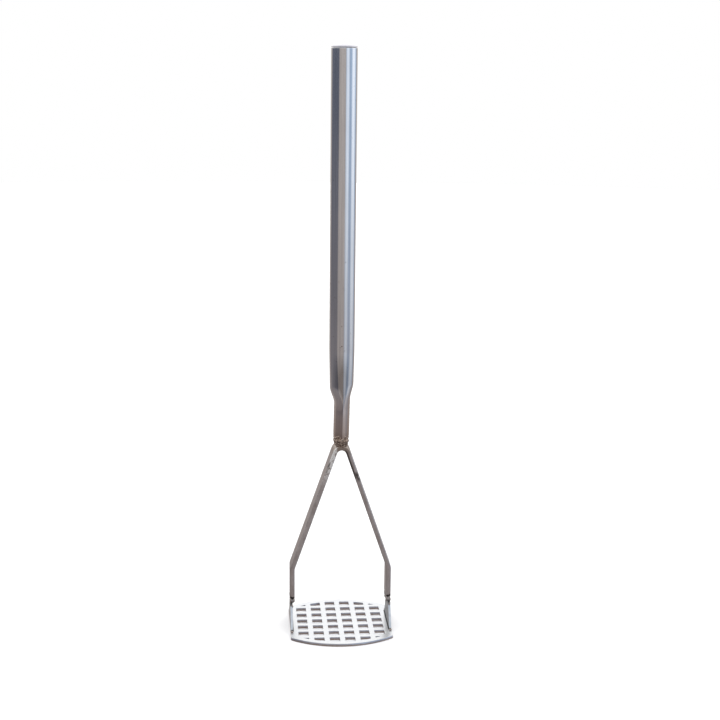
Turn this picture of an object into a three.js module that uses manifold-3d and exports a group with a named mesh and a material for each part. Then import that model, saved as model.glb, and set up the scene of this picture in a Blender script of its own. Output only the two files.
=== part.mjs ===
// A long-handled masher for cooked vegetables, in stainless steel.
// A round tube is squeezed into a flat neck at its lower end and welded onto a flat bar bent into a yoke.
// The yoke's two legs are welded to two upright ears, which stand on the side edges of a punched plate.
//
// Millimetres. +Z runs up the handle, X crosses the two legs and Y runs from front to back.
// The origin is the centre of the plate's underside.

import * as THREE from 'three';
import { mergeVertices } from 'three/addons/utils/BufferGeometryUtils.js';
import Module from 'manifold-3d';

const wasm = await Module();
wasm.setup();

// Driving dimensions ------------------------------------------------------------------------------

// A small gap between neighbouring solids stands for the line where they meet.
const gap = 0.3;

// Plate: straight sides, one arc in front and one behind, square holes inside a plain rim.
const plateThickness = 3.2;
const plateWidth = 106.4;
const plateDepth = 120;
const plateArcRadius = 85;
const plateCornerRadius = 3;
const holeSide = 10.5;
const holePitch = 16;
const holeColumns = 6;
const holeRows = 7;
const rimWidth = 6;

// Ears: upright trapezoids, flush with the plate's side edges.
const earThickness = 2.5;
const earHeight = 25;
const earBaseLength = 52;
const earTopLength = 23;

// Yoke: one flat bar, whose legs spread from the top bend and then hang straight down.
const barWidth = 22;
const barThickness = 4.9;
const yokeSpan = 106.8;
const legAngle = THREE.MathUtils.degToRad(19.2);
const kneeHeight = 67;
const bendRadius = 5;

// Welds.
const legWeldHeight = 4.6;
const legWeldBulge = 0.4;
const neckWeldHeight = 12;
const tackRadius = 1.7;
const tackHeight = 1.5;

// Handle: a tube that tapers gently, turns in at a sloping shoulder and ends in a lens-shaped neck.
const tubeRadius = 13;
const tubeWall = 1.5;
const tubeTop = 602;
const neckBottom = 208.2;
const neckHalfWidth = 8.2;
const neckHalfDepth = 17.3;
const neckRidge = 0.7;
const shoulderHeight = 254.5;
const shoulderSlope = 2.5;
const shoulderLength = 18;
const ridgeLow = 238;
const ridgeHigh = 256;
const depthLow = 232;
const depthHigh = 300;
const taperTop = 308;
const taperInset = 0.8;
const neckShiftTop = 0.8;
const neckShiftBottom = -0.1;

// End cap: a domed disc over the tube's mouth, with a spigot inside it.
const capRim = 1.4;
const capDome = 2;
const spigotClearance = 0.35;
const spigotDepth = 6;

// Smoothness of the facets.
const tubeSides = 40;
const crimpRings = 22;
const arcSteps = 14;

// Worked out from the dimensions above.
const plateTop = plateThickness;
const earFoot = plateTop + gap;
const earTop = earFoot + earHeight;
const legBottom = earTop + legWeldHeight + 2 * gap;
const yokeHalfSpan = yokeSpan / 2;
const outerBendRadius = bendRadius + barThickness;
const outerApex = kneeHeight + yokeHalfSpan / Math.tan(legAngle);
const topBendHeight = outerApex - outerBendRadius / Math.sin(legAngle);

// Helpers -----------------------------------------------------------------------------------------

// Turns a closed geometry into a solid that can be cut and joined.
function toSolid(geometry) {
  geometry.deleteAttribute('normal');
  geometry.deleteAttribute('uv');
  const merged = mergeVertices(geometry, 1e-4);
  return new wasm.Manifold(new wasm.Mesh({
    numProp: 3,
    vertProperties: new Float32Array(merged.attributes.position.array),
    triVerts: new Uint32Array(merged.index.array),
  }));
}

// Turns a solid back into a geometry.
function toGeometry(solid) {
  const mesh = solid.getMesh();
  const geometry = new THREE.BufferGeometry();
  geometry.setAttribute('position', new THREE.BufferAttribute(mesh.vertProperties, 3));
  geometry.setIndex(new THREE.BufferAttribute(mesh.triVerts, 1));
  geometry.computeVertexNormals();
  return geometry;
}

// Extrudes an outline drawn in the plane of the plate, from z = bottom up to z = top.
function extrudeUp(shape, bottom, top) {
  const options = { depth: top - bottom, bevelEnabled: false, curveSegments: arcSteps };
  return new THREE.ExtrudeGeometry(shape, options).translate(0, 0, bottom);
}

// Extrudes an outline drawn in the plane of the yoke (X across, Z up) to both sides of y = 0.
function extrudeAlongY(shape, length) {
  const options = { depth: length, bevelEnabled: false, curveSegments: arcSteps };
  return new THREE.ExtrudeGeometry(shape, options)
    .rotateX(Math.PI / 2)
    .translate(0, length / 2, 0);
}

// Extrudes an outline drawn in the plane of an ear (Y across, Z up) from x = 0 to x = length.
function extrudeAlongX(shape, length) {
  const options = { depth: length, bevelEnabled: false, curveSegments: arcSteps };
  return new THREE.ExtrudeGeometry(shape, options)
    .rotateX(Math.PI / 2)
    .rotateZ(Math.PI / 2);
}

function polygon(points) {
  return new THREE.Shape(points.map(([x, y]) => new THREE.Vector2(x, y)));
}

// Plate -------------------------------------------------------------------------------------------

// The plate's outline, or a line that runs a given distance inside it.
function plateOutline(inset, cornerRadius) {
  const halfWidth = plateWidth / 2 - inset;
  const arcRadius = plateArcRadius - inset;
  const arcCentre = plateDepth / 2 - plateArcRadius;
  const cornerX = halfWidth - cornerRadius;
  const cornerY = arcCentre + Math.sqrt((arcRadius - cornerRadius) ** 2 - cornerX ** 2);
  const turn = Math.atan2(cornerY - arcCentre, cornerX);
  const shape = new THREE.Shape();
  shape.absarc(cornerX, cornerY, cornerRadius, 0, turn);
  shape.absarc(0, arcCentre, arcRadius, turn, Math.PI - turn);
  shape.absarc(-cornerX, cornerY, cornerRadius, Math.PI - turn, Math.PI);
  shape.absarc(-cornerX, -cornerY, cornerRadius, Math.PI, Math.PI + turn);
  shape.absarc(0, -arcCentre, arcRadius, Math.PI + turn, 2 * Math.PI - turn);
  shape.absarc(cornerX, -cornerY, cornerRadius, 2 * Math.PI - turn, 2 * Math.PI);
  return shape;
}

// A square grid of holes, cut off where it meets the rim.
function plateGeometry() {
  const punches = [];
  for (let column = 0; column < holeColumns; column += 1) {
    for (let row = 0; row < holeRows; row += 1) {
      const x = (column - (holeColumns - 1) / 2) * holePitch;
      const y = (row - (holeRows - 1) / 2) * holePitch;
      const punch = new THREE.BoxGeometry(holeSide, holeSide, 4 * plateThickness);
      punches.push(toSolid(punch.translate(x, y, 0)));
    }
  }
  const insideRim = toSolid(extrudeUp(plateOutline(rimWidth, 1), -plateThickness, 2 * plateThickness));
  const holes = wasm.Manifold.union(punches).intersect(insideRim);
  const blank = toSolid(extrudeUp(plateOutline(0, plateCornerRadius), 0, plateThickness));
  return toGeometry(blank.subtract(holes));
}

// Ears --------------------------------------------------------------------------------------------

// side is 1 for the right ear and -1 for the left one.
function earGeometry(side) {
  const outline = polygon([
    [-earBaseLength / 2, earFoot],
    [earBaseLength / 2, earFoot],
    [earTopLength / 2, earTop],
    [-earTopLength / 2, earTop],
  ]);
  const innerFace = plateWidth / 2 - earThickness;
  const start = side > 0 ? innerFace : -plateWidth / 2;
  return extrudeAlongX(outline, earThickness).translate(start, 0, 0);
}

// Yoke --------------------------------------------------------------------------------------------

function yokeGeometry() {
  const kneeX = yokeHalfSpan - outerBendRadius;
  const kneeZ = kneeHeight - outerBendRadius * Math.tan(legAngle / 2);
  const innerHalfSpan = yokeHalfSpan - barThickness;
  const shape = new THREE.Shape();
  shape.moveTo(yokeHalfSpan, legBottom);
  shape.absarc(kneeX, kneeZ, outerBendRadius, 0, legAngle);
  shape.absarc(0, topBendHeight, outerBendRadius, legAngle, Math.PI - legAngle);
  shape.absarc(-kneeX, kneeZ, outerBendRadius, Math.PI - legAngle, Math.PI);
  shape.lineTo(-yokeHalfSpan, legBottom);
  shape.lineTo(-innerHalfSpan, legBottom);
  shape.absarc(-kneeX, kneeZ, bendRadius, Math.PI, Math.PI - legAngle, true);
  shape.absarc(0, topBendHeight, bendRadius, Math.PI - legAngle, legAngle, true);
  shape.absarc(kneeX, kneeZ, bendRadius, legAngle, 0, true);
  shape.lineTo(innerHalfSpan, legBottom);
  return extrudeAlongY(shape, barWidth);
}

// Handle tube -------------------------------------------------------------------------------------

// How far the width at this height and angle has gone from round (0) to neck (1).
// The shoulder stands higher on the right (+X) than on the left.
function squeeze(z, angle) {
  const middle = shoulderHeight + shoulderSlope * Math.cos(angle);
  return 1 - THREE.MathUtils.smoothstep(z, middle - shoulderLength / 2, middle + shoulderLength / 2);
}

// A point of the tube's wall. inset is 0 on the outside and the wall's thickness on the inside.
// What the section loses in width it gains in depth, as a squeezed tube keeps its girth.
// The depth grows slowly, the width shrinks at the shoulder, and the ridges form last.
function tubePoint(angle, z, inset) {
  const { lerp, clamp, smoothstep } = THREE.MathUtils;
  const deepened = 1 - smoothstep(z, depthLow, depthHigh);
  const taper = taperInset * (1 - smoothstep(z, shoulderHeight, taperTop));
  const halfWidth = lerp(tubeRadius - taper, neckHalfWidth, squeeze(z, angle));
  const halfDepth = lerp(tubeRadius, neckHalfDepth, deepened);
  const ridge = neckRidge * (1 - smoothstep(z, ridgeLow, ridgeHigh));
  const down = clamp((shoulderHeight - z) / (shoulderHeight - neckBottom), 0, 1);
  const shift = squeeze(z, Math.PI / 2) * lerp(neckShiftTop, neckShiftBottom, down);
  const across = Math.cos(angle);
  return new THREE.Vector3(
    shift + (halfWidth - inset) * across * Math.abs(across) ** ridge,
    (halfDepth - inset * (1 + ridge)) * Math.sin(angle),
    z,
  );
}

function tubeGeometry() {
  const heights = [];
  for (let ring = 0; ring <= crimpRings; ring += 1) {
    heights.push(THREE.MathUtils.lerp(neckBottom, taperTop, ring / crimpRings));
  }
  heights.push(tubeTop);
  const outside = heights.map((z) => new THREE.Vector2(tubeRadius, z));
  const inside = heights.map((z) => new THREE.Vector2(tubeRadius - tubeWall, z)).reverse();
  const profile = [...outside, ...inside, outside[0].clone()];
  const geometry = new THREE.LatheGeometry(profile, tubeSides).rotateX(Math.PI / 2);
  const position = geometry.attributes.position;
  const vertex = new THREE.Vector3();
  for (let index = 0; index < position.count; index += 1) {
    vertex.fromBufferAttribute(position, index);
    const inset = tubeRadius - Math.hypot(vertex.x, vertex.y);
    const moved = tubePoint(Math.atan2(vertex.y, vertex.x), vertex.z, inset);
    position.setXYZ(index, moved.x, moved.y, moved.z);
  }
  return geometry;
}

// End cap -----------------------------------------------------------------------------------------

function capGeometry() {
  const spigotRadius = tubeRadius - tubeWall - spigotClearance;
  const seat = tubeTop + gap;
  const profile = new THREE.Path();
  profile.moveTo(0, tubeTop - spigotDepth);
  profile.lineTo(spigotRadius - 1, tubeTop - spigotDepth);
  profile.lineTo(spigotRadius, tubeTop - spigotDepth + 1);
  profile.lineTo(spigotRadius, seat);
  profile.lineTo(tubeRadius, seat);
  profile.lineTo(tubeRadius, seat + capRim / 2);
  profile.quadraticCurveTo(tubeRadius, seat + capRim, tubeRadius - capRim, seat + 1.2 * capRim);
  profile.quadraticCurveTo(tubeRadius / 2, seat + capRim + capDome, 0, seat + capRim + capDome);
  return new THREE.LatheGeometry(profile.getPoints(5), tubeSides).rotateX(Math.PI / 2);
}

// Welds -------------------------------------------------------------------------------------------

// The bead under the neck keeps the neck's lens section, narrows towards the bar's width, and is
// hollowed below to sit over the bar's top bend.
function neckWeldGeometry() {
  const top = neckBottom - gap;
  const bottom = top - neckWeldHeight;
  const lens = new THREE.Shape();
  for (let side = 0; side < tubeSides; side += 1) {
    const point = tubePoint((2 * Math.PI * side) / tubeSides, neckBottom, gap);
    if (side === 0) {
      lens.moveTo(point.x, point.y);
    } else {
      lens.lineTo(point.x, point.y);
    }
  }
  const lensPrism = toSolid(extrudeUp(lens, bottom, top));
  const frontToBack = polygon([
    [-barWidth / 2, bottom],
    [barWidth / 2, bottom],
    [neckHalfDepth, top],
    [-neckHalfDepth, top],
  ]);
  const wedge = toSolid(extrudeAlongX(frontToBack, 4 * tubeRadius).translate(-2 * tubeRadius, 0, 0));
  const reach = outerBendRadius + gap;
  const drop = outerBendRadius * 3;
  const bend = new THREE.Shape();
  bend.absarc(0, topBendHeight, reach, legAngle, Math.PI - legAngle);
  bend.lineTo(-reach / Math.cos(legAngle) - drop * Math.tan(legAngle), topBendHeight - drop);
  bend.lineTo(reach / Math.cos(legAngle) + drop * Math.tan(legAngle), topBendHeight - drop);
  const saddle = toSolid(extrudeAlongY(bend, 4 * neckHalfDepth));
  return toGeometry(lensPrism.intersect(wedge).subtract(saddle));
}

// The bead between a leg's end and its ear is as wide as each where it meets it, and bulges between.
function legWeldGeometry(side) {
  const top = legBottom - gap;
  const bottom = earTop + gap;
  const middle = (top + bottom) / 2;
  const innerLeg = yokeHalfSpan - barThickness;
  const innerEar = plateWidth / 2 - earThickness;
  const outline = new THREE.Shape();
  outline.moveTo(yokeHalfSpan, top);
  outline.lineTo(innerLeg, top);
  outline.quadraticCurveTo(innerLeg - legWeldBulge, middle, innerEar - legWeldBulge, bottom);
  outline.lineTo(plateWidth / 2, bottom);
  outline.quadraticCurveTo(yokeHalfSpan + 2 * legWeldBulge, middle, yokeHalfSpan, top);
  const geometry = extrudeAlongY(outline, barWidth);
  return side > 0 ? geometry : geometry.rotateZ(Math.PI);
}

// A low round blob of weld against the end of an ear.
function tackGeometry() {
  const profile = new THREE.Path();
  profile.moveTo(0, 0);
  profile.lineTo(tackRadius, 0);
  profile.quadraticCurveTo(tackRadius, tackHeight, 0, tackHeight);
  return new THREE.LatheGeometry(profile.getPoints(5), 16).rotateX(Math.PI / 2);
}

// Assembly ----------------------------------------------------------------------------------------

const masher = new THREE.Group();

function addPart(name, geometry, colour, roughness) {
  const material = new THREE.MeshStandardMaterial({ color: colour, metalness: 1, roughness });
  const mesh = new THREE.Mesh(geometry, material);
  mesh.name = name;
  masher.add(mesh);
  return mesh;
}

addPart('handle_tube', tubeGeometry(), 0xb4b6bd, 0.28);
addPart('handle_end_cap', capGeometry(), 0xc6c8cf, 0.3);
addPart('yoke_bar', yokeGeometry(), 0x918687, 0.42);
addPart('masher_plate', plateGeometry(), 0xd9dbe0, 0.38);
addPart('neck_weld', neckWeldGeometry(), 0x6d5c50, 0.6);

for (const [side, sideName] of [[-1, 'left'], [1, 'right']]) {
  addPart(`ear_${sideName}`, earGeometry(side), 0x9a9296, 0.42);
  addPart(`leg_weld_${sideName}`, legWeldGeometry(side), 0x74676a, 0.55);
  for (const [end, endName] of [[-1, 'front'], [1, 'rear']]) {
    const tack = addPart(`ear_tack_${sideName}_${endName}`, tackGeometry(), 0x55534f, 0.6);
    const alongX = plateWidth / 2 - earThickness / 2;
    const alongY = earBaseLength / 2 + gap + tackRadius;
    tack.position.set(side * alongX, end * alongY, earFoot);
  }
}

export default masher;
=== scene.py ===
import math
import random

import bmesh
import bpy
from mathutils import Matrix, Vector, noise
from mathutils.geometry import delaunay_2d_cdt


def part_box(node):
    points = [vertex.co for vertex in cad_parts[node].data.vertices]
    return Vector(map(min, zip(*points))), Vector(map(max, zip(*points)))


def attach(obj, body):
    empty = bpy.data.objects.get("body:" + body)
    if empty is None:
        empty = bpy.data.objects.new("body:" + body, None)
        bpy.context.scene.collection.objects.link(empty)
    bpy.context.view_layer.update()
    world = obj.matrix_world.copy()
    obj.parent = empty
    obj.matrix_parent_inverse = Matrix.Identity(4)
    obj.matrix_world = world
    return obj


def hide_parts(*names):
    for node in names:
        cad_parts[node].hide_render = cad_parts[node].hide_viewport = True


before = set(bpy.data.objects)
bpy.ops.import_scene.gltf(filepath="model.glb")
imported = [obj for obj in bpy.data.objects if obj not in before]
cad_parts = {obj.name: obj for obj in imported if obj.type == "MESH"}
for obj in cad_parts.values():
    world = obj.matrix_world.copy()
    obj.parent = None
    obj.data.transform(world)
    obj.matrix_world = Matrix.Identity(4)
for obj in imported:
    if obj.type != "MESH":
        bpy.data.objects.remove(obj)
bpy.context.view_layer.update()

# A welded steel masher: a squeezed tube, a bent flat bar, two ears and a punched plate.
# Lengths are in metres, and MM turns millimetres into metres.
MM = 0.001
BODY = "root"

# Places and sizes that the CAD frame gives.
plate_low, plate_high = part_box("masher_plate")
ear_low, ear_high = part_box("ear_right")
yoke_low, yoke_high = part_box("yoke_bar")
tube_low, tube_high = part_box("handle_tube")
cap_low, cap_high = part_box("handle_end_cap")

PLATE_TOP = plate_high.z
LEG_BOTTOM = yoke_low.z
YOKE_HALF_SPAN = yoke_high.x
BAR_HALF_WIDTH = yoke_high.y
NECK_BOTTOM = tube_low.z
TUBE_TOP = tube_high.z
TUBE_RADIUS = tube_high.x

# Driving dimensions that a box can't give.
BAR_THICKNESS = 4.9 * MM
BEND_RADIUS = 5 * MM
LEG_ANGLE = math.radians(19.2)
TUBE_WALL = 1.5 * MM
PLATE_ARC_RADIUS = 85 * MM
PLATE_CORNER = 3 * MM
HOLE_SIDE = 10.5 * MM
HOLE_PITCH = 16 * MM
HOLE_COLUMNS, HOLE_ROWS = 6, 7
RIM_WIDTH = 6 * MM
EAR_TOP_LENGTH = 23 * MM

OUTER_BEND = BEND_RADIUS + BAR_THICKNESS
MIDDLE_BEND = BEND_RADIUS + BAR_THICKNESS / 2
TOP_BEND = Vector((0, yoke_high.z - OUTER_BEND))
KNEE = Vector((YOKE_HALF_SPAN - OUTER_BEND, 0))
KNEE.y = TOP_BEND.y - KNEE.x / math.tan(LEG_ANGLE)


def lerp(low, high, share):
    return low + (high - low) * share


def smoothstep(low, high, value):
    share = min(1, max(0, (value - low) / (high - low)))
    return share * share * (3 - 2 * share)


def steps(low, high, count):
    """count + 1 even values from low to high."""
    return [lerp(low, high, index / count) for index in range(count + 1)]


# ---------------------------------------------------------------------------------------------------
# Mesh helpers


def make_piece(name, vertices, faces, material, node=None):
    """A closed, smooth-shaded mesh that rides on the body and stands for a CAD node."""
    mesh = bpy.data.meshes.new(name)
    mesh.from_pydata(vertices, [], faces)
    shell = bmesh.new()
    shell.from_mesh(mesh)
    bmesh.ops.remove_doubles(shell, verts=shell.verts, dist=1e-7)
    bmesh.ops.recalc_face_normals(shell, faces=shell.faces)
    shell.to_mesh(mesh)
    shell.free()
    mesh.shade_smooth()
    return dress_piece(bpy.data.objects.new(name, mesh), material, node)


def dress_piece(piece, material, node):
    bpy.context.scene.collection.objects.link(piece)
    piece.data.materials.clear()
    piece.data.materials.append(material)
    weighted = piece.modifiers.new("flat_faces_stay_flat", "WEIGHTED_NORMAL")
    weighted.weight = 80
    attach(piece, BODY)
    if node:
        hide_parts(node)
    return piece


def bridge(first, second, faces):
    """Quads between two closed rings of the same number of vertices."""
    count = len(first)
    for index in range(count):
        after = (index + 1) % count
        faces.append((first[index], first[after], second[after], second[index]))


def loft(rings, close_ends=True):
    """Vertices and faces of a skin through closed rings of points."""
    vertices, faces, numbers = [], [], []
    for ring in rings:
        numbers.append(list(range(len(vertices), len(vertices) + len(ring))))
        vertices.extend(ring)
    for first, second in zip(numbers, numbers[1:]):
        bridge(first, second, faces)
    if close_ends:
        faces.append(tuple(reversed(numbers[0])))
        faces.append(tuple(numbers[-1]))
    else:
        bridge(numbers[-1], numbers[0], faces)
    return vertices, faces


def revolve(profile, sides):
    """A solid turned about Z from (radius, height) points that start and end on the axis."""
    rings = []
    for radius, height in profile[1:-1]:
        rings.append([
            Vector((radius * math.cos(angle), radius * math.sin(angle), height))
            for angle in steps(0, 2 * math.pi, sides)[:-1]
        ])
    vertices, faces = loft(rings)
    faces = faces[:-2]
    for end, ring_start in ((profile[0], 0), (profile[-1], len(vertices) - sides)):
        vertices.append(Vector((0, 0, end[1])))
        centre = len(vertices) - 1
        for index in range(sides):
            faces.append((centre, ring_start + index, ring_start + (index + 1) % sides))
    return vertices, faces


# ---------------------------------------------------------------------------------------------------
# Sheet parts: the plate and the ears


def offset_polygon(points, distance):
    """Moves the sides of a convex, counter-clockwise polygon inwards by distance."""
    moved = []
    for index, point in enumerate(points):
        before = (point - points[index - 1]).normalized()
        after = (points[(index + 1) % len(points)] - point).normalized()
        inward = [Vector((-side.y, side.x)) for side in (before, after)]
        corner = (inward[0] + inward[1]) / (1 + inward[0].dot(inward[1]))
        moved.append(point + corner * distance)
    return moved


def clip_polygon(points, window):
    """The part of a convex polygon that lies inside a convex, counter-clockwise window."""
    for start, end in zip(window, window[1:] + window[:1]):
        side = end - start
        depths = [side.cross(point - start) for point in points]
        kept = []
        for index, point in enumerate(points):
            after = (index + 1) % len(points)
            if depths[index] >= 0:
                kept.append(point)
            if depths[index] * depths[after] < 0:
                share = depths[index] / (depths[index] - depths[after])
                kept.append(point.lerp(points[after], share))
        points = kept
        if not points:
            break
    return points


def soften_corners(points, radius):
    """Rounds every real corner of a convex polygon, and leaves the joints of its arcs alone."""
    softened = []
    for index, point in enumerate(points):
        before = (points[index - 1] - point).normalized()
        after = (points[(index + 1) % len(points)] - point).normalized()
        room = min((points[index - 1] - point).length, (points[(index + 1) % len(points)] - point).length)
        half_angle = before.angle(after) / 2
        if half_angle > math.radians(84):
            softened.append(point)
            continue
        reach = min(radius / math.tan(half_angle), room / 2.2)
        rounding = reach * math.tan(half_angle)
        centre = point + (before + after).normalized() * (reach / math.cos(half_angle))
        start = (point + before * reach - centre).normalized()
        sweep = math.pi - 2 * half_angle
        for turn in steps(0, sweep, 4):
            arm = Vector((
                start.x * math.cos(turn) - start.y * math.sin(turn),
                start.x * math.sin(turn) + start.y * math.cos(turn),
            ))
            softened.append(centre + arm * rounding)
    return softened


def edge_profile(thickness, top_round, bottom_round, rounds=3):
    """(distance into the metal, height) points down the edge of a sheet with rounded arrises."""
    down = [
        (top_round * (1 - math.sin(turn)), thickness - top_round * (1 - math.cos(turn)))
        for turn in steps(0, math.pi / 2, rounds)
    ]
    under = [
        (bottom_round * (1 - math.cos(turn)), bottom_round * (1 - math.sin(turn)))
        for turn in steps(0, math.pi / 2, rounds)
    ]
    return down + under


def sheet_part(outline, holes, thickness, top_round, bottom_round):
    """A flat sheet with rounded arrises, from a convex outline and convex holes, lying on z = 0."""
    vertices, faces = [], []
    loops = [(outline, 1)] + [(hole, -1) for hole in holes]
    top_rings, bottom_rings = [], []
    for points, into_metal in loops:
        rings = []
        for distance, height in edge_profile(thickness, top_round, bottom_round):
            moved = offset_polygon(points, distance * into_metal)
            rings.append(list(range(len(vertices), len(vertices) + len(moved))))
            vertices.extend(Vector((point.x, point.y, height)) for point in moved)
        for first, second in zip(rings, rings[1:]):
            bridge(first, second, faces)
        top_rings.append(rings[0])
        bottom_rings.append(rings[-1])
    for rings in (top_rings, bottom_rings):
        faces.extend(fill_between(rings, vertices))
    return vertices, faces


def fill_between(rings, vertices):
    """Triangles inside the first ring and outside all the others."""
    numbers = [number for ring in rings for number in ring]
    ring_of = {number: index for index, ring in enumerate(rings) for number in ring}
    place = {number: index for index, number in enumerate(numbers)}
    edges = []
    for ring in rings:
        edges.extend((place[a], place[b]) for a, b in zip(ring, ring[1:] + ring[:1]))
    flat = [vertices[number].to_2d() for number in numbers]
    found = delaunay_2d_cdt(flat, edges, [], 1, 1e-9)
    origin = [numbers[sources[0]] for sources in found[3]]
    triangles = []
    for face in found[2]:
        corners = [origin[index] for index in face]
        owners = {ring_of[corner] for corner in corners}
        if len(owners) > 1 or owners == {0}:
            triangles.append(tuple(corners))
    return triangles


def plate_outline(inset, corner):
    """The plate's outline, or a line that runs a given distance inside it."""
    half_width = plate_high.x - inset
    arc_radius = PLATE_ARC_RADIUS - inset
    arc_centre = plate_high.y - PLATE_ARC_RADIUS
    corner_x = half_width - corner
    corner_y = arc_centre + math.sqrt((arc_radius - corner) ** 2 - corner_x ** 2)
    turn = math.atan2(corner_y - arc_centre, corner_x)
    half = []
    for x, y, radius, start, end, count in (
        (corner_x, corner_y, corner, 0, turn, 5),
        (0, arc_centre, arc_radius, turn, math.pi - turn, 40),
        (-corner_x, corner_y, corner, math.pi - turn, math.pi, 5),
    ):
        for angle in steps(start, end, count)[:-1 if count == 40 else None]:
            half.append(Vector((x + radius * math.cos(angle), y + radius * math.sin(angle))))
    points = half + [-point for point in half]
    return [p for i, p in enumerate(points) if (p - points[i - 1]).length > 1e-6]


def make_plate(material):
    window = plate_outline(RIM_WIDTH, 1 * MM)
    holes = []
    for column in range(HOLE_COLUMNS):
        for row in range(HOLE_ROWS):
            x = (column - (HOLE_COLUMNS - 1) / 2) * HOLE_PITCH
            y = (row - (HOLE_ROWS - 1) / 2) * HOLE_PITCH
            half = HOLE_SIDE / 2
            square = [Vector((x + a * half, y + b * half)) for a, b in ((-1, -1), (1, -1), (1, 1), (-1, 1))]
            holes.append(soften_corners(clip_polygon(square, window), 0.5 * MM))
    outline = plate_outline(0, PLATE_CORNER)
    vertices, faces = sheet_part(outline, holes, PLATE_TOP, 0.25 * MM, 0.15 * MM)
    return make_piece("punched_plate", vertices, faces, material, "masher_plate")


def make_ear(name, material):
    """An upright trapezoid on the plate's side edge."""
    low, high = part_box(f"ear_{name}")
    height = high.z - low.z
    half_base, half_top = high.y, EAR_TOP_LENGTH / 2
    outline = [
        Vector((-half_base, 0)), Vector((half_base, 0)),
        Vector((half_top, height)), Vector((-half_top, height)),
    ]
    outline = soften_corners(outline, 0.8 * MM)
    vertices, faces = sheet_part(outline, [], high.x - low.x, 0.35 * MM, 0.35 * MM)
    placed = [Vector((low.x + v.z, v.x, low.z + v.y)) for v in vertices]
    return make_piece(f"{name}_ear", placed, faces, material, f"ear_{name}")


# ---------------------------------------------------------------------------------------------------
# Yoke


def yoke_stations():
    """Stations along the bar from the right leg's end to the left one's: (centre, angle) pairs.
    At each one the bar's middle lies a bend radius from the centre, in the angle's direction."""
    right = [(Vector((KNEE.x, z)), 0) for z in steps(LEG_BOTTOM, KNEE.y, 6)]
    right += [(KNEE, angle) for angle in steps(0, LEG_ANGLE, 6)[1:]]
    right += [(KNEE.lerp(TOP_BEND, share), LEG_ANGLE) for share in steps(0, 1, 24)[1:]]
    top = [(TOP_BEND, angle) for angle in steps(LEG_ANGLE, math.pi - LEG_ANGLE, 24)[1:-1]]
    left = [(Vector((-centre.x, centre.y)), math.pi - angle) for centre, angle in reversed(right)]
    return right + top + left


def bar_section(half_thickness, half_width, radius):
    """(across thickness, across width) points of a rectangle with rounded corners."""
    points = []
    for index, (u, v) in enumerate(((1, -1), (1, 1), (-1, 1), (-1, -1))):
        for angle in steps(-math.pi / 2, 0, 3):
            turn = angle + index * math.pi / 2
            points.append((
                u * (half_thickness - radius) + radius * math.cos(turn),
                v * (half_width - radius) + radius * math.sin(turn),
            ))
    return points


def make_yoke(material):
    stations = yoke_stations()
    arris = 0.8 * MM
    rings, inner = [], []
    last = len(stations) - 1
    for index, (centre, angle) in enumerate(stations):
        outward = Vector((math.cos(angle), math.sin(angle)))
        for inset in ([arris, 0] if index == 0 else [0, arris] if index == last else [0]):
            section = bar_section(BAR_THICKNESS / 2 - inset, BAR_HALF_WIDTH - inset, arris)
            lift = Vector((0, arris)) if index in (0, last) and not inset else Vector((0, 0))
            ring = []
            for across, along in section:
                place = centre + lift + outward * (MIDDLE_BEND + across)
                ring.append(Vector((place.x, along, place.y)))
                inner.append(0.5 - across / BAR_THICKNESS)
            rings.append(ring)
    vertices, faces = loft(rings)
    yoke = make_piece("yoke_flat_bar", vertices, faces, material, "yoke_bar")
    yoke.data.attributes.new("inner", "FLOAT", "POINT").data.foreach_set("value", inner)
    return yoke


# ---------------------------------------------------------------------------------------------------
# Handle

NECK_HALF_WIDTH = 8.2 * MM
NECK_HALF_DEPTH = tube_high.y
NECK_RIDGE = 0.7
SHOULDER_HEIGHT = 254.5 * MM
SHOULDER_SLOPE = 2.5 * MM
SHOULDER_LENGTH = 18 * MM
RIDGE_LOW, RIDGE_HIGH = 238 * MM, 256 * MM
DEPTH_LOW, DEPTH_HIGH = 232 * MM, 300 * MM
TAPER_TOP = 308 * MM
TAPER_INSET = 0.8 * MM
NECK_SHIFT_TOP, NECK_SHIFT_BOTTOM = 0.8 * MM, -0.1 * MM


def squeeze(z, angle):
    """How far the width has gone from round (0) to neck (1)."""
    middle = SHOULDER_HEIGHT + SHOULDER_SLOPE * math.cos(angle)
    return 1 - smoothstep(middle - SHOULDER_LENGTH / 2, middle + SHOULDER_LENGTH / 2, z)


def tube_point(angle, z, inset):
    """A point of the tube's wall, inset from its outer face."""
    deepened = 1 - smoothstep(DEPTH_LOW, DEPTH_HIGH, z)
    taper = TAPER_INSET * (1 - smoothstep(SHOULDER_HEIGHT, TAPER_TOP, z))
    half_width = lerp(TUBE_RADIUS - taper, NECK_HALF_WIDTH, squeeze(z, angle))
    half_depth = lerp(TUBE_RADIUS, NECK_HALF_DEPTH, deepened)
    ridge = NECK_RIDGE * (1 - smoothstep(RIDGE_LOW, RIDGE_HIGH, z))
    down = min(1, max(0, (SHOULDER_HEIGHT - z) / (SHOULDER_HEIGHT - NECK_BOTTOM)))
    shift = squeeze(z, math.pi / 2) * lerp(NECK_SHIFT_TOP, NECK_SHIFT_BOTTOM, down)
    across = math.cos(angle)
    return Vector((
        shift + (half_width - inset) * across * abs(across) ** ridge,
        (half_depth - inset * (1 + ridge)) * math.sin(angle),
        z,
    ))


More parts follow.
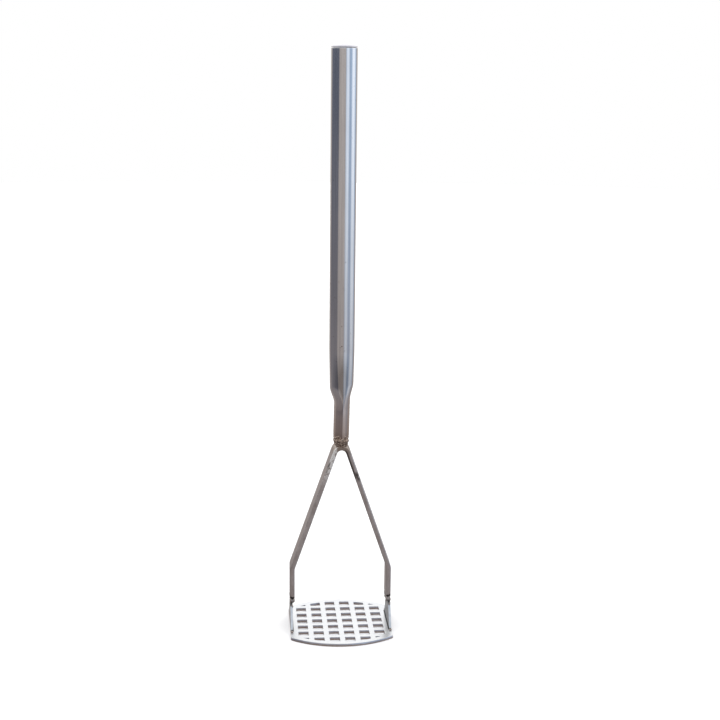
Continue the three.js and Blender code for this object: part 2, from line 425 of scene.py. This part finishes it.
def make_tube(material):
    sides = 128
    rounding = 0.7 * MM
    tuck = 1.1 * MM
    angles = steps(0, 2 * math.pi, sides)[:-1]
    heights = steps(NECK_BOTTOM + 2 * tuck, TAPER_TOP, 84) + steps(TAPER_TOP, TUBE_TOP - rounding, 10)[1:]
    lower = [(tuck * (1 - math.cos(turn)), NECK_BOTTOM + 2 * tuck * (1 - math.sin(turn)))
             for turn in steps(math.pi / 2, 0, 6)[:-1]]
    upper = [(rounding * (1 - math.cos(turn)), TUBE_TOP - rounding * (1 - math.sin(turn)))
             for turn in steps(0, math.pi / 2, 4)[1:]]
    outside = lower + [(0, z) for z in heights] + upper
    inside = [(TUBE_WALL, z) for z in reversed(steps(NECK_BOTTOM, TAPER_TOP, 30) + [TUBE_TOP])]
    rings = [[tube_point(angle, z, inset) for angle in angles] for inset, z in outside + inside]
    vertices, faces = loft(rings, close_ends=False)
    return make_piece("handle_tube_shell", vertices, faces, material, "handle_tube")


def make_cap(material):
    """A domed disc with a rounded edge, and its spigot inside the tube."""
    seat = TUBE_TOP + 0.3 * MM
    spigot = TUBE_RADIUS - TUBE_WALL - 0.35 * MM
    edge = 1.6 * MM
    dome_radius = TUBE_RADIUS - edge
    dome_foot = cap_high.z - 1.7 * MM
    profile = [(0, cap_low.z), (spigot - 1 * MM, cap_low.z), (spigot, cap_low.z + 1 * MM), (spigot, seat)]
    profile += [(TUBE_RADIUS - 0.25 * MM, seat), (TUBE_RADIUS, seat + 0.25 * MM)]
    for turn in steps(0, math.pi / 2, 6):
        height = lerp(seat + 0.4 * MM, dome_foot, math.sin(turn))
        profile.append((dome_radius + edge * math.cos(turn), height))
    for share in steps(1, 0, 10)[1:]:
        profile.append((dome_radius * share, lerp(cap_high.z, dome_foot, share * share)))
    vertices, faces = revolve(profile, 96)
    return make_piece("domed_end_cap", vertices, faces, material, "handle_end_cap")


# ---------------------------------------------------------------------------------------------------
# Welds


def make_weld(name, node, blobs, voxel, roughness, material):
    """Fuses overlapping blobs of metal into one lumpy skin."""
    metal = bmesh.new()
    for centre, radii in blobs:
        place = Matrix.Translation(centre) @ Matrix.Diagonal((*radii, 1))
        bmesh.ops.create_icosphere(metal, subdivisions=2, radius=1, matrix=place)
    mesh = bpy.data.meshes.new(name + "_blobs")
    metal.to_mesh(mesh)
    metal.free()
    blank = bpy.data.objects.new(name + "_blank", mesh)
    bpy.context.scene.collection.objects.link(blank)
    fuse = blank.modifiers.new("fuse", "REMESH")
    fuse.mode = "VOXEL"
    fuse.voxel_size = voxel
    fuse.use_smooth_shade = True
    smooth = blank.modifiers.new("smooth", "SMOOTH")
    smooth.factor = 0.5
    smooth.iterations = 3
    graph = bpy.context.evaluated_depsgraph_get()
    fused = bpy.data.meshes.new_from_object(blank.evaluated_get(graph))
    fused.name = name
    bpy.data.objects.remove(blank)
    roughen(fused, roughness)
    mark_hollows(fused, voxel)
    piece = bpy.data.objects.new(name, fused)
    return dress_piece(piece, material, node)


def roughen(mesh, amount):
    """Moves the skin in and out by a few tenths of a millimetre, as rippled and spattered metal."""
    moves = []
    for vertex in mesh.vertices:
        place = vertex.co / MM
        ripple = noise.noise(place * 0.45) + 0.5 * noise.noise(place * 1.1 + Vector((7, 3, 1)))
        moves.append(vertex.normal * ripple * amount)
    for vertex, move in zip(mesh.vertices, moves):
        vertex.co += move
    mesh.update()


def mark_hollows(mesh, voxel):
    """Stores how hollow the skin is at each vertex, for the dark scale and painted shade in its crevices.
    """
    total = [Vector() for _ in mesh.vertices]
    count = [0] * len(mesh.vertices)
    for edge in mesh.edges:
        first, second = edge.vertices
        total[first] += mesh.vertices[second].co
        total[second] += mesh.vertices[first].co
        count[first] += 1
        count[second] += 1
    bend = [
        (total[v.index] / max(1, count[v.index]) - v.co).dot(v.normal) / voxel
        for v in mesh.vertices
    ]
    for _ in range(2):
        spread = list(bend)
        for edge in mesh.edges:
            first, second = edge.vertices
            spread[first] += bend[second]
            spread[second] += bend[first]
        bend = [value / (number + 1) for value, number in zip(spread, count)]
    hollow = mesh.attributes.new("hollow", "FLOAT", "POINT")
    hollow.data.foreach_set("value", [min(1, max(0, 0.5 + 5 * value)) for value in bend])


def jitter(draw, amount):
    return draw.uniform(-amount, amount) * MM


# Lumps in each ring of the neck weld, and the low ripples: height, reach, size (mm) and slant.
RING_LUMPS = 44
LOW_RIPPLES = ((206.4, 15.0, 1.5, 0), (204.9, 13.9, 1.4, -0.1), (201.5, 12.0, 1.25, -0.16))


def neck_weld_blobs():
    """A core, three rings of lumps down from the neck's end, and ripples over the front and the back."""
    draw = random.Random(11)
    blobs = []
    for along in steps(-9.5 * MM, 9.5 * MM, 4):
        blobs.append((Vector((0, along, 203.3 * MM)), (6.2 * MM, 4 * MM, 4.7 * MM)))
    for drop, reach, size in ((0.9, 40, 1.9), (4.1, 13.2, 2.3), (7.0, 11.6, 1.9)):
        for index in range(RING_LUMPS):
            angle = 2 * math.pi * (index + draw.uniform(-0.3, 0.3)) / RING_LUMPS
            place = tube_point(angle, NECK_BOTTOM, 1.7 * MM)
            place.x *= 1 - 0.012 * drop
            place.y = max(-reach * MM, min(reach * MM, place.y))
            place.z -= drop * MM + jitter(draw, 0.5)
            radius = size * draw.uniform(0.85, 1.1) * MM
            blobs.append((place, (radius * 0.9, radius, radius)))
    for side in (-1, 1):
        blobs += wavy_ripple(draw, side)
        for height, reach, size, slant in LOW_RIPPLES:
            blobs += straight_ripple(draw, side, height, reach, size, slant)
    return blobs


def wavy_ripple(draw, side):
    """The uppermost ripple, which rises and falls as it crosses the neck's end."""
    blobs = []
    for x in steps(-6, 5, 8):
        rise = 1.6 + 1.6 * math.cos(x + 3.5)
        size = lerp(1.3, 0.8, (x + 6) / 11) * MM
        y = NECK_HALF_DEPTH * math.sqrt(1 - (abs(x) / 8.2) ** 1.2) - 0.3 * MM
        place = Vector((x * MM, side * y, NECK_BOTTOM + rise * MM + jitter(draw, 0.3)))
        blobs.append((place, (size, size * 0.8, size)))
    return blobs


def straight_ripple(draw, side, height, reach, size, slant):
    """A lower ripple that crosses the weld at a slant."""
    blobs = []
    for x in steps(-5, 5.4, 6):
        y = (reach - 0.08 * x * x) * MM
        shifted = x * MM + jitter(draw, 0.5)
        level = (height + slant * x) * MM + jitter(draw, 0.5)
        radius = size * draw.uniform(0.75, 1.15) * MM
        blobs.append((Vector((shifted, side * y, level)), (radius * 0.85, radius * 0.8, radius * 1.05)))
    return blobs


def leg_weld_blobs(side, seed):
    """Short runs of weld across both faces of the leg's end, and a lump on each edge of it."""
    draw = random.Random(seed)
    middle = (ear_high.z + LEG_BOTTOM) / 2
    outer, inner = YOKE_HALF_SPAN, YOKE_HALF_SPAN - BAR_THICKNESS
    blobs = []
    for along in steps(-8.5 * MM, 8.5 * MM, 6):
        place = Vector((side * (inner + outer) / 2, along, middle))
        blobs.append((place, (2.2 * MM, 2.4 * MM, 2.6 * MM)))
    for along in steps(-10.3 * MM, 10.3 * MM, 9):
        for face, push in ((outer, -0.9), (inner, 0.9)):
            shifted = along + jitter(draw, 0.5)
            level = middle + jitter(draw, 0.6)
            place = Vector((side * (face + push * MM), shifted, level))
            radius = draw.uniform(1.0, 1.3) * MM
            blobs.append((place, (radius, radius * 1.4, radius * 2)))
    for end in (-1, 1):
        for across in steps(inner + 1.2 * MM, outer - 1.2 * MM, 2):
            place = Vector((side * across, end * 10.4 * MM, middle + jitter(draw, 0.5)))
            radius = draw.uniform(1.3, 1.6) * MM
            blobs.append((place, (radius, radius * 0.8, radius * 1.4)))
        lean = inner + 2.7 * MM if side * end > 0 else outer - 1.3 * MM
        place = Vector((side * lean, end * 12.3 * MM, ear_high.z - 2.8 * MM))
        blobs.append((place, (1.2 * MM, 1.0 * MM, 2.3 * MM)))
    place = Vector((side * (inner + 1.7 * MM), 10.6 * MM, ear_high.z - 2.5 * MM))
    blobs.append((place, (1.5 * MM, 1.6 * MM, 2 * MM)))
    return blobs


def tack_blobs(node, seed):
    draw = random.Random(seed)
    low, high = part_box(node)
    centre = (low + high) / 2
    blobs = []
    for _ in range(5):
        place = Vector((centre.x + jitter(draw, 0.6), centre.y + jitter(draw, 0.9), low.z + 0.35 * MM))
        radius = draw.uniform(0.8, 1.2) * MM
        blobs.append((place, (radius, radius * 1.1, radius * 0.95)))
    return blobs


def make_welds(material):
    make_weld("neck_weld_bead", "neck_weld", neck_weld_blobs(), 0.3 * MM, 0.32 * MM, material)
    for side, name, seed in ((-1, "left", 5), (1, "right", 9)):
        blobs = leg_weld_blobs(side, seed)
        make_weld(f"{name}_leg_weld_bead", f"leg_weld_{name}", blobs, 0.3 * MM, 0.2 * MM, material)
        for end in ("front", "rear"):
            node = f"ear_tack_{name}_{end}"
            blobs = tack_blobs(node, seed + len(end))
            make_weld(f"{name}_{end}_ear_tack", node, blobs, 0.22 * MM, 0.12 * MM, material)


# ---------------------------------------------------------------------------------------------------
# Materials


def add(tree, kind, inputs=None, **settings):
    """Adds a node. A socket in inputs is linked, and any other value is set."""
    made = tree.nodes.new(kind)
    for key, value in settings.items():
        setattr(made, key, value)
    for key, value in (inputs or {}).items():
        if isinstance(value, bpy.types.NodeSocket):
            tree.links.new(value, made.inputs[key])
        else:
            made.inputs[key].default_value = value
    return made


def math_node(tree, operation, *values):
    made = add(tree, "ShaderNodeMath", dict(enumerate(values)), operation=operation)
    made.use_clamp = False
    return made.outputs[0]


def mix_colours(tree, factor, first, second, blend="MIX"):
    made = add(tree, "ShaderNodeMix", {0: factor, 6: first, 7: second}, data_type="RGBA", blend_type=blend)
    return made.outputs[2]


def stretch(tree, value, low, high, to_low, to_high):
    made = add(tree, "ShaderNodeMapRange", {0: value, 1: low, 2: high, 3: to_low, 4: to_high})
    return made.outputs[0]


def ramp(tree, factor, stops):
    """A colour ramp through (position, colour) stops."""
    made = add(tree, "ShaderNodeValToRGB", {0: factor})
    elements = made.color_ramp.elements
    elements[0].position, elements[0].color = stops[0]
    elements[1].position, elements[1].color = stops[-1]
    for position, colour in stops[1:-1]:
        elements.new(position).color = colour
    return made.outputs[0]


def grain(tree, place, scale, detail=4, roughness=0.6):
    """Noise whose scale differs along X, Y and Z."""
    mapped = add(tree, "ShaderNodeMapping", {"Vector": place, "Scale": scale})
    made = add(tree, "ShaderNodeTexNoise", {
        "Vector": mapped.outputs[0], "Scale": 1, "Detail": detail, "Roughness": roughness,
    })
    return made.outputs[0]


def new_metal(name):
    """A metallic material, its tree, its shader, and the place in the frame as a vector and as X, Y, Z."""
    material = bpy.data.materials.new(name)
    material.use_nodes = True
    tree = material.node_tree
    shader = tree.nodes["Principled BSDF"]
    shader.inputs["Metallic"].default_value = 1
    place = add(tree, "ShaderNodeTexCoord").outputs["Object"]
    axes = add(tree, "ShaderNodeSeparateXYZ", {0: place}).outputs
    return material, tree, shader, place, axes


def connect(tree, shader, colour, roughness, bump_height, bump_distance):
    tree.links.new(colour, shader.inputs["Base Color"])
    tree.links.new(roughness, shader.inputs["Roughness"])
    bump = add(tree, "ShaderNodeBump", {"Height": bump_height, "Distance": bump_distance, "Strength": 1})
    tree.links.new(bump.outputs[0], shader.inputs["Normal"])


def surface_normal(tree):
    """The surface's direction as X, Y and Z."""
    normal = add(tree, "ShaderNodeNewGeometry").outputs["Normal"]
    return add(tree, "ShaderNodeSeparateXYZ", {0: normal}).outputs


def mottled(tree, value, darker, lighter, low=0.35, high=0.65):
    """A mix of two colours that follows the value from low to high."""
    return mix_colours(tree, stretch(tree, value, low, high, 0, 1), darker, lighter)


def tube_steel():
    """Polished tube with lengthwise lines, a few rust specks, painted shade on the crimp's upward-facing
    slopes and heat tint at the neck.
    """
    material, tree, shader, place, axes = new_metal("tube_steel")
    lines = grain(tree, place, (1500, 1500, 14), 5)
    streaks = grain(tree, place, (260, 260, 7), 3)
    clouds = grain(tree, place, (60, 60, 25), 3)
    drawn = grain(tree, place, (650, 650, 9), 4)
    shade = math_node(tree, "ADD", product(tree, streaks, 0.4), product(tree, clouds, 0.2))
    shade = math_node(tree, "ADD", shade, product(tree, drawn, 0.4))
    colour = mottled(tree, shade, (0.55, 0.55, 0.57, 1), (0.72, 0.72, 0.74, 1))
    heat = stretch(tree, axes[2], NECK_BOTTOM, NECK_BOTTOM + 50 * MM, 0, 1)
    tint = ramp(tree, heat, [
        (0, (0.55, 0.42, 0.34, 1)), (0.15, (0.84, 0.70, 0.60, 1)),
        (0.6, (0.94, 0.84, 0.78, 1)), (1, (1, 1, 1, 1)),
    ])
    colour = mix_colours(tree, 1.0, colour, tint, "MULTIPLY")
    # Painted shade: below the cap, the crimp's upward-facing slopes are darkened, where they would reflect
    # the bright dome.
    upward = surface_normal(tree)[2]
    below_cap = stretch(tree, axes[2], TAPER_TOP, TAPER_TOP + 10 * MM, 1, 0)
    shade_on_upward_slopes = product(tree, stretch(tree, upward, 0.01, 0.08, 0, 1), below_cap)
    colour = mix_colours(tree, product(tree, shade_on_upward_slopes, 0.75), colour, (0.20, 0.18, 0.175, 1))
    on_cap = stretch(tree, axes[2], TUBE_TOP + 0.6 * MM, TUBE_TOP + 0.8 * MM, 0, 1)
    colour = mix_colours(tree, on_cap, colour, (0.50, 0.49, 0.53, 1))
    specks = grain(tree, place, (420, 420, 300), 2)
    spotted = grain(tree, place, (38, 38, 16), 1)
    rust = product(tree, stretch(tree, specks, 0.69, 0.73, 0, 1), stretch(tree, spotted, 0.5, 0.6, 0, 1))
    colour = mix_colours(tree, rust, colour, (0.12, 0.06, 0.04, 1))
    coarse = math_node(tree, "ADD", streaks, product(tree, rust, 0.8))
    roughness = stretch(tree, coarse, 0.3, 0.9, 0.09, 0.20)
    height = math_node(tree, "ADD", math_node(tree, "MULTIPLY", lines, 0.3), streaks)
    connect(tree, shader, colour, roughness, height, 0.012 * MM)
    return material


def near(tree, value, centre, reach, softness):
    """1 where value is within reach of centre, falling to 0 over the softness."""
    away = math_node(tree, "ABSOLUTE", math_node(tree, "SUBTRACT", value, centre))
    return stretch(tree, away, reach, reach + softness, 1, 0)


def product(tree, *values):
    result = values[0]
    for value in values[1:]:
        result = math_node(tree, "MULTIPLY", result, value)
    return result


def bar_steel():
    """Dull, warm mill finish, with a polished patch painted light as a highlight, painted shade on the
    right leg's inner face, scorch spots, dark scale and heat tint.
    """
    material, tree, shader, place, axes = new_metal("bar_steel")
    lines = grain(tree, place, (900, 1400, 60), 5)
    clouds = grain(tree, place, (110, 110, 70), 4)
    mottle = grain(tree, place, (420, 420, 260), 3)
    shade = math_node(tree, "ADD", product(tree, clouds, 0.6), product(tree, mottle, 0.4))
    colour = mottled(tree, shade, (0.40, 0.365, 0.36, 1), (0.50, 0.465, 0.46, 1), 0.38, 0.62)
    tinted = stretch(tree, math_node(tree, "ADD", axes[2], product(tree, clouds, 8 * MM)),
                     yoke_high.z - 8 * MM, yoke_high.z + 1 * MM, 0, 0.8)
    colour = mix_colours(tree, tinted, colour, (0.27, 0.215, 0.17, 1))
    facing = surface_normal(tree)
    # A polished patch on the left leg's front edge, painted near-white as a highlight of the bright sky it
    # reflects.
    polished_patch_highlight = stretch(tree, axes[2], yoke_high.z - 42 * MM, yoke_high.z - 24 * MM, 0, 1)
    polished_patch_highlight = product(tree, polished_patch_highlight, stretch(tree, axes[0], -4 * MM, -6 * MM, 0, 1))
    polished_patch_highlight = product(tree, polished_patch_highlight, stretch(tree, facing[1], -0.6, -0.9, 0, 1))
    polished_patch_highlight = product(tree, polished_patch_highlight, stretch(tree, mottle, 0.38, 0.48, 0, 1))
    colour = mix_colours(tree, product(tree, polished_patch_highlight, 0.9), colour, (0.92, 0.94, 0.94, 1))
    inner = add(tree, "ShaderNodeAttribute", attribute_name="inner").outputs["Fac"]
    # Painted shade: the right leg's inner face is darkened near the arch.
    inner_face_shade = product(
        tree,
        stretch(tree, inner, 0.5, 0.68, 0, 0.85),
        stretch(tree, axes[0], 2 * MM, 5 * MM, 0, 1),
        stretch(tree, axes[2], yoke_high.z - 38 * MM, yoke_high.z - 30 * MM, 0, 1),
    )
    on_front = stretch(tree, facing[1], -0.3, -0.7, 0, 1)
    burnt = product(
        tree,
        on_front,
        near(tree, axes[2], yoke_high.z - 33 * MM, 3 * MM, 3 * MM),
        stretch(tree, axes[0], 2 * MM, 5 * MM, 0, 0.8),
        stretch(tree, mottle, 0.36, 0.46, 0, 1),
    )
    spots = product(
        tree,
        on_front,
        near(tree, axes[2], yoke_high.z - 23 * MM, 4 * MM, 3 * MM),
        near(tree, inner, 0.2, 0.12, 0.1),
        stretch(tree, axes[0], -2 * MM, -5 * MM, 0, 0.8),
        stretch(tree, mottle, 0.42, 0.5, 0, 1),
    )
    # Painted shade on the inner face, together with the scorch spots on the front faces.
    shade_and_scorch_spots = math_node(tree, "MAXIMUM", inner_face_shade, math_node(tree, "MAXIMUM", burnt, spots))
    colour = mix_colours(tree, shade_and_scorch_spots, colour, (0.06, 0.05, 0.045, 1))
    scale = stretch(tree, mottle, 0.62, 0.68, 0, 0.8)
    scale = product(tree, scale, stretch(tree, clouds, 0.5, 0.6, 0, 1))
    end = stretch(tree, math_node(tree, "ADD", axes[2], product(tree, mottle, 3 * MM)),
                  LEG_BOTTOM + 3.2 * MM, LEG_BOTTOM + 4.2 * MM, 1, 0)
    colour = mix_colours(tree, math_node(tree, "MAXIMUM", scale, end), colour, (0.055, 0.045, 0.045, 1))
    roughness = stretch(tree, shade, 0.35, 0.65, 0.28, 0.40)
    height = math_node(tree, "ADD", product(tree, lines, 0.4), mottle)
    connect(tree, shader, colour, roughness, height, 0.02 * MM)
    return material


def ear_steel():
    """The ears' sheet: bright cut edges, duller outer faces, inner faces painted dark as shade and darker
    towards the bottom, a painted shadow along the foot and a darker band just under the weld.
    """
    material, tree, shader, place, axes = new_metal("ear_steel")
    mottle = grain(tree, place, (300, 300, 200), 4)
    fine = grain(tree, place, (1200, 1200, 400), 4)
    facing = surface_normal(tree)[0]
    on_face = stretch(tree, math_node(tree, "ABSOLUTE", facing), 0.75, 0.95, 0, 1)
    inward = math_node(tree, "LESS_THAN", product(tree, facing, axes[0]), 0)
    outer = mottled(tree, mottle, (0.42, 0.40, 0.40, 1), (0.52, 0.50, 0.50, 1))
    # Painted shade: the inner face, turned towards the other ear, is much darker than the outer one.
    faces_with_inner_shade = mottled(tree, mottle, (0.17, 0.165, 0.165, 1), (0.24, 0.235, 0.235, 1))
    # Painted shade: the inner face grows darker towards the bottom.
    low = stretch(tree, axes[2], ear_low.z, ear_low.z + 16 * MM, 0.4, 1)
    faces_with_inner_shade = mix_colours(tree, 1.0, faces_with_inner_shade, low, "MULTIPLY")
    faces_with_inner_shade = mix_colours(tree, inward, outer, faces_with_inner_shade)
    edge = mottled(tree, mottle, (0.52, 0.54, 0.56, 1), (0.64, 0.66, 0.68, 1))
    colour = mix_colours(tree, on_face, edge, faces_with_inner_shade)
    # Painted shadow along the ear's foot, where it meets the plate, and a darker band just under the weld.
    foot = stretch(tree, math_node(tree, "ADD", axes[2], product(tree, mottle, 2 * MM)),
                   ear_low.z + 1.4 * MM, ear_low.z + 2.6 * MM, 1, 0)
    top = stretch(tree, math_node(tree, "SUBTRACT", axes[2], product(tree, mottle, 5 * MM)),
                  ear_high.z - 6 * MM, ear_high.z - 4.5 * MM, 0, 0.9)
    dark = math_node(tree, "MAXIMUM", product(tree, foot, 0.85), top)
    colour = mix_colours(tree, dark, colour, (0.05, 0.05, 0.052, 1))
    roughness = stretch(tree, mottle, 0.35, 0.65, 0.30, 0.42)
    connect(tree, shader, colour, roughness, fine, 0.02 * MM)
    return material


def plate_steel():
    """Satin sheet with faint rolling lines, a painted reflection on the walls of its holes and its edge,
    and a painted shadow along each ear's foot.
    """
    material, tree, shader, place, axes = new_metal("plate_steel")
    lines = grain(tree, place, (40, 1300, 1300), 5)
    clouds = grain(tree, place, (60, 60, 60), 3)
    mottle = grain(tree, place, (300, 300, 300), 3)
    shade = math_node(tree, "ADD", product(tree, lines, 0.5), product(tree, clouds, 0.5))
    colour = mottled(tree, shade, (0.60, 0.61, 0.63, 1), (0.68, 0.69, 0.70, 1))
    facing = surface_normal(tree)[2]
    # Painted reflection: the walls of the holes and the plate's edge run by height from brown at the bottom
    # to blue-grey at the top.
    on_wall = stretch(tree, math_node(tree, "ABSOLUTE", facing), 0.5, 0.2, 0, 1)
    uneven = product(tree, math_node(tree, "SUBTRACT", mottle, 0.5), 1.5 * MM)
    height = math_node(tree, "ADD", axes[2], uneven)
    wall = ramp(tree, stretch(tree, height, 0, PLATE_TOP, 0, 1), [
        (0, (0.36, 0.25, 0.19, 1)), (0.35, (0.46, 0.41, 0.39, 1)),
        (0.6, (0.60, 0.64, 0.74, 1)), (1, (0.72, 0.80, 0.92, 1)),
    ])
    colour = mix_colours(tree, on_wall, colour, wall)
    # Painted shadow: a near-black line on the plate along the inside of each ear's foot.
    across = math_node(tree, "ADD", math_node(tree, "ABSOLUTE", axes[0]), product(tree, mottle, 0.8 * MM))
    joint_shadow = near(tree, across, ear_low.x + 0.3 * MM, 0.6 * MM, 0.4 * MM)
    joint_shadow = product(tree, joint_shadow, near(tree, axes[1], 0, ear_high.y, 1 * MM))
    joint_shadow = product(tree, joint_shadow, near(tree, axes[2], PLATE_TOP, 0.3 * MM, 0.2 * MM))
    colour = mix_colours(tree, joint_shadow, colour, (0.03, 0.032, 0.035, 1))
    roughness = stretch(tree, shade, 0.35, 0.65, 0.26, 0.36)
    connect(tree, shader, colour, roughness, lines, 0.008 * MM)
    return material


def weld_steel():
    """Weld metal: brown heat tint, dark scale and painted shade in the hollows, and painted highlights on
    the ridges.
    """
    material, tree, shader, place, axes = new_metal("weld_steel")
    hollow = add(tree, "ShaderNodeAttribute", attribute_name="hollow").outputs["Fac"]
    clouds = grain(tree, place, (260, 260, 260), 4)
    fine = grain(tree, place, (1500, 1500, 1500), 4)
    tint = ramp(tree, clouds, [
        (0.3, (0.16, 0.11, 0.08, 1)), (0.45, (0.30, 0.22, 0.17, 1)),
        (0.58, (0.42, 0.34, 0.28, 1)), (0.7, (0.34, 0.32, 0.33, 1)),
    ])
    grey = ramp(tree, clouds, [(0.3, (0.14, 0.135, 0.14, 1)), (0.7, (0.38, 0.36, 0.365, 1))])
    tint = mix_colours(tree, stretch(tree, axes[2], 0.05, 0.15, 0, 1), grey, tint)
    # Painted highlights: the ridges, where the skin bulges out, are made lighter.
    tint_with_ridge_highlights = mix_colours(tree, stretch(tree, hollow, 0.45, 0.2, 0, 0.6), tint, (0.38, 0.31, 0.26, 1))
    # Dark scale and painted shade: the hollows are made nearly black.
    colour = mix_colours(tree, stretch(tree, hollow, 0.52, 0.75, 0, 1), tint_with_ridge_highlights, (0.025, 0.02, 0.018, 1))
    roughness = stretch(tree, fine, 0.3, 0.7, 0.38, 0.6)
    connect(tree, shader, colour, roughness, fine, 0.08 * MM)
    return material


# ---------------------------------------------------------------------------------------------------
# Studio

# A plain studio that the steel reflects: pale walls under a white dome, above a warm grey table.
# Each card is (compass angle, half its width, soft edge, colour), in degrees from above, with 0 in front
# of the object and 90 to its right: a dark flag, a cool wall, a strip light and a soft box.
WALLS = (0.37, 0.34, 0.32, 1)
CARDS = (
    (-90, 40, 6, (0.09, 0.10, 0.13, 1)),
    (70, 50, 10, (0.32, 0.42, 0.56, 1)),
    (30, 6, 14, (0.70, 0.78, 0.88, 1)),
    (90, 12, 14, (0.80, 0.88, 0.98, 1)),
)
TABLE = (0.23, 0.20, 0.19, 1)
DOME = (0.97, 0.97, 0.97, 1)
OVER_CAMERA = (0.45, 0.50, 0.58, 1)
CARD_STRENGTH = 1.5
PALE = (1, 1, 1, 1)

# The table's tone takes over from the cards below the horizon, between these elevations in degrees.
TABLE_STARTS, TABLE_FULL, TABLE_SHARE = -1, -16, 0.75


def make_world():
    world = bpy.data.worlds.new("studio")
    world.use_nodes = True
    bpy.context.scene.world = world
    tree = world.node_tree
    direction = add(tree, "ShaderNodeTexCoord").outputs["Generated"]
    axes = add(tree, "ShaderNodeSeparateXYZ", {0: direction}).outputs
    front = math_node(tree, "MULTIPLY", axes[1], -1)
    angle = math_node(tree, "ARCTAN2", axes[0], front)
    compass = math_node(tree, "MULTIPLY", angle, 180 / math.pi)
    rise = math_node(tree, "MULTIPLY", math_node(tree, "ARCSINE", axes[2]), 180 / math.pi)
    studio = WALLS
    for centre, half_width, softness, colour in CARDS:
        studio = mix_colours(tree, near(tree, compass, centre, half_width, softness), studio, colour)
    studio = mix_colours(tree, stretch(tree, rise, TABLE_STARTS, TABLE_FULL, 0, TABLE_SHARE), studio, TABLE)
    in_front = stretch(tree, axes[1], -0.75, 0.1, 1, 0)
    shaded = product(tree, in_front, stretch(tree, rise, 18, 28, 0, 1), stretch(tree, rise, 50, 60, 1, 0))
    dome = mix_colours(tree, shaded, DOME, OVER_CAMERA)
    studio = mix_colours(tree, stretch(tree, rise, 4, 9, 0, 1), studio, dome)
    light = add(tree, "ShaderNodeBackground", {"Color": studio, "Strength": CARD_STRENGTH})
    plain = add(tree, "ShaderNodeBackground", {"Color": PALE, "Strength": 1})
    seen = add(tree, "ShaderNodeLightPath").outputs["Is Camera Ray"]
    mixed = add(tree, "ShaderNodeMixShader", {0: seen, 1: light.outputs[0], 2: plain.outputs[0]})
    tree.links.new(mixed.outputs[0], tree.nodes["World Output"].inputs["Surface"])


def make_floor():
    """A pale round floor just below the plate. From below it isn't seen."""
    radius, height = 6, -0.05 * MM
    turns = steps(0, 2 * math.pi, 96)[:-1]
    ring = [Vector((radius * math.cos(turn), radius * math.sin(turn), height)) for turn in turns]
    mesh = bpy.data.meshes.new("floor")
    mesh.from_pydata(ring, [], [tuple(range(len(ring)))])
    floor = bpy.data.objects.new("floor", mesh)
    bpy.context.scene.collection.objects.link(floor)
    material = bpy.data.materials.new("floor")
    material.use_nodes = True
    tree = material.node_tree
    shader = tree.nodes["Principled BSDF"]
    shader.inputs["Base Color"].default_value = (0.97, 0.96, 0.95, 1)
    shader.inputs["Roughness"].default_value = 0.9
    shader.inputs["Specular IOR Level"].default_value = 0.1
    clear = add(tree, "ShaderNodeBsdfTransparent")
    below = add(tree, "ShaderNodeNewGeometry").outputs["Backfacing"]
    one_sided = add(tree, "ShaderNodeMixShader", {0: below, 1: shader.outputs[0], 2: clear.outputs[0]})
    tree.links.new(one_sided.outputs[0], tree.nodes["Material Output"].inputs["Surface"])
    mesh.materials.append(material)
    floor.visible_glossy = False


def make_camera():
    """Looks slightly down and to the right, with a very small roll."""
    yaw, tilt, roll = math.radians(4.86), math.radians(12), math.radians(0.66)
    forward = Vector((math.sin(yaw) * math.cos(tilt), math.cos(yaw) * math.cos(tilt), -math.sin(tilt)))
    level = Vector((math.cos(yaw), -math.sin(yaw), 0))
    upright = level.cross(forward)
    right = level * math.cos(roll) + upright * math.sin(roll)
    up = upright * math.cos(roll) - level * math.sin(roll)
    data = bpy.data.cameras.new("camera")
    data.lens = 67.07
    data.sensor_width = 36
    data.clip_end = 50
    camera = bpy.data.objects.new("camera", data)
    turned = Matrix((right, up, -forward)).transposed().to_4x4()
    camera.matrix_world = Matrix.Translation((-0.09566, -1.346, 0.576)) @ turned
    bpy.context.scene.collection.objects.link(camera)
    bpy.context.scene.camera = camera


# ---------------------------------------------------------------------------------------------------
# Making

make_camera()
tube_metal = tube_steel()
bar_metal = bar_steel()
make_tube(tube_metal)
make_cap(tube_metal)
make_yoke(bar_metal)
make_plate(plate_steel())
ear_metal = ear_steel()
make_ear("left", ear_metal)
make_ear("right", ear_metal)
make_welds(weld_steel())
make_world()
make_floor()
bpy.context.scene.view_settings.view_transform = "Standard"
